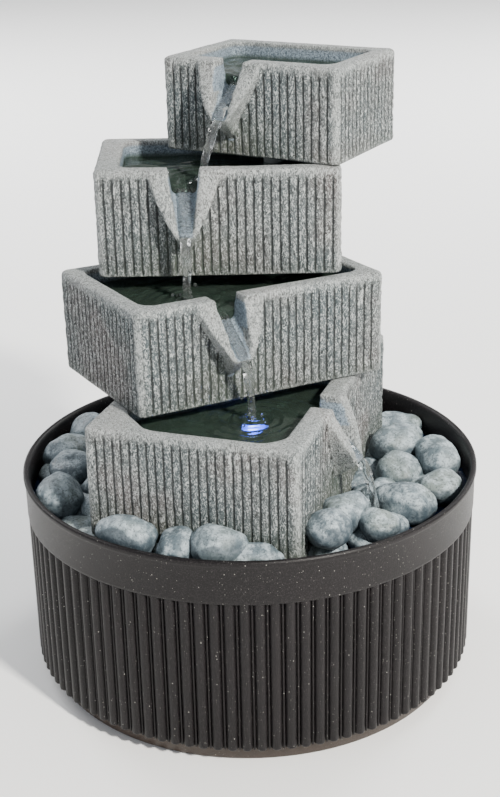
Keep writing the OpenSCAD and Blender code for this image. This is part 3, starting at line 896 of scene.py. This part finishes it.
# where each stream comes down, and where each pool's rings spread from: the top pool's from the riser
LANDS = {"top": Vector((-0.0265, 0.0030, LEVELS["upper"])),
         "upper": Vector((-0.0360, -0.0290, LEVELS["lower"])),
         "lower": Vector((0.0028, -0.0610, LEVELS["base"])),
         "base": Vector((0.0795, -0.0640, POND + 0.0065))}
HITS = {"top": (0.020, 0.055), "upper": LANDS["top"].xy, "lower": LANDS["upper"].xy,
        "base": LANDS["lower"].xy, "pond": LANDS["base"].xy}


def ripple(co, hit, height, seed):
    """Height of the water's skin over its level at each place."""
    waves = np.random.default_rng(seed)
    r = np.hypot(co[:, 0] - hit[0], co[:, 1] - hit[1])
    z = height * np.exp(-r / 0.020) * np.cos(2 * math.pi * r / 0.0068 + 0.8) * step(r, 0.001, 0.006)
    z += 0.9 * height * np.exp(-((r / 0.0055) ** 2))
    for _ in range(7):
        angle, long = waves.uniform(0, 2 * math.pi), waves.uniform(0.009, 0.030)
        bend = 0.004 * np.sin((co[:, 0] + 2 * co[:, 1]) / 0.021 + waves.uniform(0, 6))
        way = co[:, 0] * math.cos(angle) + co[:, 1] * math.sin(angle) + bend
        z += long * 0.008 * np.sin(2 * math.pi * way / long + waves.uniform(0, 6))
    return z


def rippled(obj, level, hit, height, seed):
    """Moves only the top of the water up and down."""
    co, no = read_vertices(obj)
    top = step(co[:, 2], level - 0.0022, level - 0.0004) * step(no[:, 2], 0.2, 0.6)
    co[:, 2] += top * ripple(co, hit, height, seed)
    write_places(obj, co)


# %% Pools in the four basins
def pool(key, seed):
    """The water in one basin."""
    plan, level = PLANS[key], LEVELS[key]
    obj = basin_cutter(key)
    obj.name = "pool_" + key
    edit_all(obj)
    bpy.ops.mesh.bisect(plane_co=(0, 0, level - 0.0012), plane_no=(0, 0, 1), use_fill=True, clear_outer=True)
    done()
    modify(obj, "REMESH", mode="VOXEL", voxel_size=0.00125)
    modify(obj, "DISPLACE", strength=0.0012, mid_level=0.0)
    leant(obj, plan[5])
    obj.rotation_euler = (0, 0, math.radians(plan[4]))
    obj.location = (plan[2], plan[3], 0)
    settle(obj)
    rippled(obj, level, HITS[key], 0.0011, seed)
    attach(obj, "tower")
    print(obj.name, len(obj.data.polygons), "faces")
    return obj


pools = [pool(key, 20 + k) for k, key in enumerate(PLANS)]

# %% Water in the reservoir, round the tray
bowl_in = 0.1457
pond = turned("pond", [(bowl_in, tray_top + 0.0002), (bowl_in, POND - 0.0004), (bowl_in - 0.0004, POND)], 96)
modify(pond, "REMESH", mode="VOXEL", voxel_size=0.0015)
rippled(pond, POND, HITS["pond"], 0.0015, 31)
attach(pond, "reservoir")
print("pond:", len(pond.data.polygons), "faces")

# %% [markdown]
# Each stream is three strands laid as curves along the channel's floor. They close up at the tip, fall,
# and twist round each other like a rope, which is what gives falling water its bright broken edges.
# One skin over all three makes them a single stream, and beads of spray are added where it lands.

# %% Streams
WRINKLE = clouds("wrinkle", 0.0045, 1)
FALL_STEPS, TWIST = 24, 3.6


def strand(points):
    """A round strand through (place, radius) points."""
    data = bpy.data.curves.new("strand", "CURVE")
    data.dimensions = "3D"
    data.bevel_depth, data.bevel_resolution, data.use_fill_caps = 1.0, 3, True
    spline = data.splines.new("POLY")
    spline.points.add(len(points) - 1)
    for item, (place, radius) in zip(spline.points, points):
        item.co = (*place, 1.0)
        item.radius = radius
    obj = bpy.data.objects.new("strand", data)
    bpy.context.scene.collection.objects.link(obj)
    only(obj)
    bpy.ops.object.convert(target="MESH")
    return bpy.context.object


def stream(key, seed, spray, thick=1.0):
    """One stream, from its channel to where it lands, with this many beads of spray."""
    reach, drop = SPOUTS[key][2:]
    # along the channel: out from the wall, below the rim, then half spread and strand radius in mm
    bed = [(-0.0230, 0.0118, 4.4, 1.1), (-0.0170, 0.0128, 4.0, 1.3), (-0.0100, 0.0152, 3.6, 1.4),
           (-0.0030, 0.0200, 3.0, 1.5), (0.0040, 0.0246, 2.4, 1.6),
           (reach - 0.0045, drop - 0.0060, 1.8, 1.8), (reach - 0.0006, drop - 0.0022, 1.6, 1.9)]
    tip, land = out_of_wall(key, reach + 0.0010, drop + 0.0012), LANDS[key]
    side_way = (out_of_wall(key, 0, 0, 0.001) - out_of_wall(key, 0, 0)).normalized()
    out_way = side_way.cross(Vector((0, 0, 1)))
    strands = []
    for k in range(3):
        points = [(out_of_wall(key, o, b, (k - 1) * a * MM * 0.95), r * MM * thick) for o, b, a, r in bed]
        for i in range(FALL_STEPS):
            t = (i + 1) / FALL_STEPS
            place = tip.lerp(land, t)
            place.z = tip.z + (land.z - 0.002 - tip.z) * (0.40 * t + 0.60 * t * t)
            angle = 2.094 * k + TWIST * t
            size = (1.75 - 0.55 * t) * MM * thick
            around = side_way * math.cos(angle) + out_way * math.sin(angle) * 0.75
            points.append((place + around * size, (1.95 - 0.45 * t) * MM * thick))
        strands.append(strand(points))
    obj = join(*strands)
    modify(obj, "REMESH", mode="VOXEL", voxel_size=0.00055)
    modify(obj, "SMOOTH", factor=0.5, iterations=4)
    modify(obj, "DISPLACE", texture=WRINKLE, strength=0.0009, mid_level=0.5)
    drops = np.random.default_rng(seed)
    beads = []
    for _ in range(spray):
        away, up_by = abs(drops.normal(0, 0.0065)) + 0.003, abs(drops.normal(0, 0.0035))
        round_by = drops.uniform(0, 2 * math.pi)
        middle = land + Vector((away * math.cos(round_by), away * math.sin(round_by), up_by + 0.0006))
        size = drops.uniform(0.0008, 0.0024)
        beads.append(stone_at(middle, (size, size, size * 1.2), (1, 0, 0, 0), 2))
    obj = join(obj, *beads)
    obj.name = "stream_" + key
    smooth(obj, 80)
    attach(obj, "tower")
    print(obj.name, len(obj.data.polygons), "faces")
    return obj


streams = [stream("top", 1, 14), stream("upper", 2, 12), stream("lower", 3, 14, 0.9),
           stream("base", 4, 34, 1.1)]

# %% [markdown]
# Clear water bends light by 1.33. The pools get a faint green from the algae and stone, and a soft bump
# of capillary wrinkles. Their depth looks dark because the stone below them is dark and wet.

# %% Finish: water
def water(name, tint, wrinkle, strength, clear):
    """Water of a faint tint, with wrinkles of this scale and strength, and this clear."""
    m, tree, shader = material(name)
    small = noise(tree, here(tree), wrinkle, Detail=2.0, Distortion=0.6)
    faint = ramp(tree, small, (0.35, linear(tint)), (0.70, [min(1.0, c * 1.25) for c in linear(tint)]))
    tree.links.new(faint, shader.inputs["Base Color"])
    shader.inputs["Roughness"].default_value = 0.025
    shader.inputs["IOR"].default_value = 1.33
    shader.inputs["Transmission Weight"].default_value = clear
    bumped(tree, shader, small, strength, 0.0006)
    return m


pool_water = water("pool water, green in the depth", "#6F8578", 260.0, 0.5, 0.90)
stream_water = water("falling water, clear", "#EFF5F6", 190.0, 0.25, 0.975)
pond_water = water("reservoir water, blue-black in the shade", "#2C4468", 180.0, 0.5, 0.75)
for piece in pools:
    wear(piece, pool_water, 40)
for piece in streams:
    wear(piece, stream_water, 80)
wear(pond, pond_water, 40)

# %% [markdown]
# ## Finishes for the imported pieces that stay
# The pump, the tray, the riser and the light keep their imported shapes, which are plain moulded and turned
# parts. Each still needs the finish that its process leaves: spark-eroded texture on moulded plastic,
# bloom on rubber, lacquered wire 0.4 mm thick, stamped sheets 0.5 mm thick, and so on.

# %% A moulded, cast or ground finish with its own grain
def grained(name, hex_low, hex_high, grain_mm, roughness, relief=0.25, metallic=0.0):
    """Two close tones in soft clouds, under a fine grain that breaks up the shine."""
    m, tree, shader = material(name)
    cloud = noise(tree, here(tree), 70.0, Detail=4.0)
    grain = noise(tree, here(tree), 1000 / grain_mm, Detail=3.0)
    tone = ramp(tree, cloud, (0.32, linear(hex_low)), (0.68, linear(hex_high)))
    tree.links.new(tone, shader.inputs["Base Color"])
    rough = ramp(tree, grain, (0.3, roughness - 0.08), (0.7, roughness + 0.08))
    tree.links.new(rough, shader.inputs["Roughness"])
    bumped(tree, shader, grain, relief, 0.0002)
    shader.inputs["Metallic"].default_value = metallic
    return m, tree, shader


FINISH = {
    "pump_plastic": grained("moulded plastic, black spark-eroded", "#1B1D20", "#26292D", 0.9, 0.50)[0],
    "pump_plate": grained("poured resin, black glossy", "#0E0F10", "#17181A", 4.0, 0.22)[0],
    "rubber": grained("moulded rubber, black with bloom", "#141414", "#242423", 0.7, 0.72)[0],
    "cup_rubber": grained("moulded soft rubber, grey", "#3C4246", "#4C5357", 1.2, 0.62)[0],
    "shaft_ceramic": grained("ground ceramic, white", "#DDD9CE", "#F0EDE4", 0.3, 0.24)[0],
    "magnet": grained("pressed ferrite, dark grey", "#2C2C2E", "#414144", 0.4, 0.55)[0],
    "white_plastic": grained("moulded plastic, white", "#D8D8D2", "#ECECE8", 0.8, 0.42)[0],
    "dial": grained("moulded plastic, pale grey", "#B4B8B6", "#C8CBC9", 0.8, 0.45)[0],
    "tray": grained("moulded plastic, black water-marked", "#15171A", "#2B2F33", 1.1, 0.46)[0],
    "screw": grained("turned stainless steel", "#A9ABAD", "#C6C8CA", 0.25, 0.28, 0.15, 1.0)[0],
    "light_body": grained("moulded plastic, black satin", "#121417", "#1C1F23", 0.7, 0.38)[0],
    "board": grained("lacquered board, white", "#DADFE2", "#EEF1F3", 1.5, 0.34)[0],
    "riser": grained("extruded pipe, milky white", "#C6CBC8", "#DDE1DE", 1.6, 0.32)[0],
}

# %% Wound wire, stamped sheets and foam
BAND_MM = 50.0


def banded(name, hex_low, hex_high, pitch_mm, axis, roughness, metallic):
    """Fine bands across one direction, such as the edges of stamped sheets or turns of wire."""
    m, tree, shader = grained(name, hex_low, hex_high, 0.5, roughness, 0.2, metallic)
    bands = node(tree, "TexWave", {"bands_direction": axis}, Vector=here(tree), Scale=BAND_MM / pitch_mm,
                 Distortion=0.4).outputs["Fac"]
    tree.links.new(mix(tree, bands, linear(hex_low), linear(hex_high)), shader.inputs["Base Color"])
    bumped(tree, shader, bands, 0.6, 0.0002)
    return m


FINISH["copper"] = banded("wound copper, lacquered wire", "#6E3417", "#C07A45", 0.4, "X", 0.30, 1.0)
FINISH["core_steel"] = banded("stamped steel sheets, stacked", "#55524E", "#8D8983", 0.5, "Y", 0.42, 1.0)

m, tree, shader = grained("open-cell foam, dark green-grey", "#232E2C", "#35433F", 0.8, 0.9)
cells = node(tree, "TexVoronoi", {"feature": "DISTANCE_TO_EDGE"}, Vector=here(tree), Scale=900.0)
cells = cells.outputs["Distance"]
foam = ramp(tree, cells, (0.04, linear("#4A5A55")), (0.20, linear("#0D1211")))
tree.links.new(foam, shader.inputs["Base Color"])
bump = node(tree, "Bump", {"invert": True}, Strength=0.8, Distance=0.0006, Height=cells)
tree.links.new(bump.outputs[0], shader.inputs["Normal"])
FINISH["sponge"] = m

m, tree, shader = grained("extruded soft hose, clear", "#C9D3D3", "#DCE4E4", 3.0, 0.16)
shader.inputs["Transmission Weight"].default_value = 0.75
shader.inputs["IOR"].default_value = 1.45
FINISH["hose"] = m

# %% The light: a white emitter behind a clear lens, with a blue ring round it
def lit(name, middle, stops, strength, seen_through):
    """A glow that changes colour with the distance from middle: 0 is there, 1 is 10 mm away."""
    m, tree, shader = grained(name, "#DCE8FF", "#EEF4FF", 0.6, 0.20)
    away = node(tree, "VectorMath", {"operation": "DISTANCE"}, i0=here(tree), i1=middle).outputs["Value"]
    near = node(tree, "MapRange", Value=away, From_Min=0.0, From_Max=0.010).outputs[0]
    tree.links.new(ramp(tree, near, *stops), shader.inputs["Emission Color"])
    shader.inputs["Emission Strength"].default_value = strength
    shader.inputs["Transmission Weight"].default_value = seen_through
    return m


lens_low, lens_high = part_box("led_lens")
lens_mid = ((lens_low.x + lens_high.x) / 2, (lens_low.y + lens_high.y) / 2, lens_high.z)
black, blue, white = linear("#020306"), linear("#1E46FF"), linear("#FFFFFF")
halo = [(0.0, white), (0.20, linear("#BFD2FF")), (0.32, blue), (0.62, linear("#1230C8")), (0.74, black)]
FINISH["lens"] = lit("clear lens, lit blue-white", lens_mid, halo, 9.0, 0.3)
dome = [(0.0, white), (0.9, linear("#C8D8FF"))]
FINISH["emitter"] = lit("emitter dome, cool white", lens_mid, dome, 6.0, 0.0)

# %% Hand the finishes out
slot_of = {item["node"]: item["material_slot"] for item in frame["record"]["subparts"]}
replaced = {"reservoir_bowl", "bowl_floor"}
replaced |= {key + "_tier" for key in PLANS} | {"pebbles_" + group for group in oval_sets}
for name, obj in frame["nodes"].items():
    if name in replaced:
        continue
    if obj.material_slots:
        for item in obj.material_slots:
            item.material = FINISH[slot_of[name]]
    else:
        obj.data.materials.append(FINISH[slot_of[name]])
print("finishes on", len(frame["nodes"]) - len(replaced), "packed pieces")

# %% Update the view layer
bpy.context.view_layer.update()
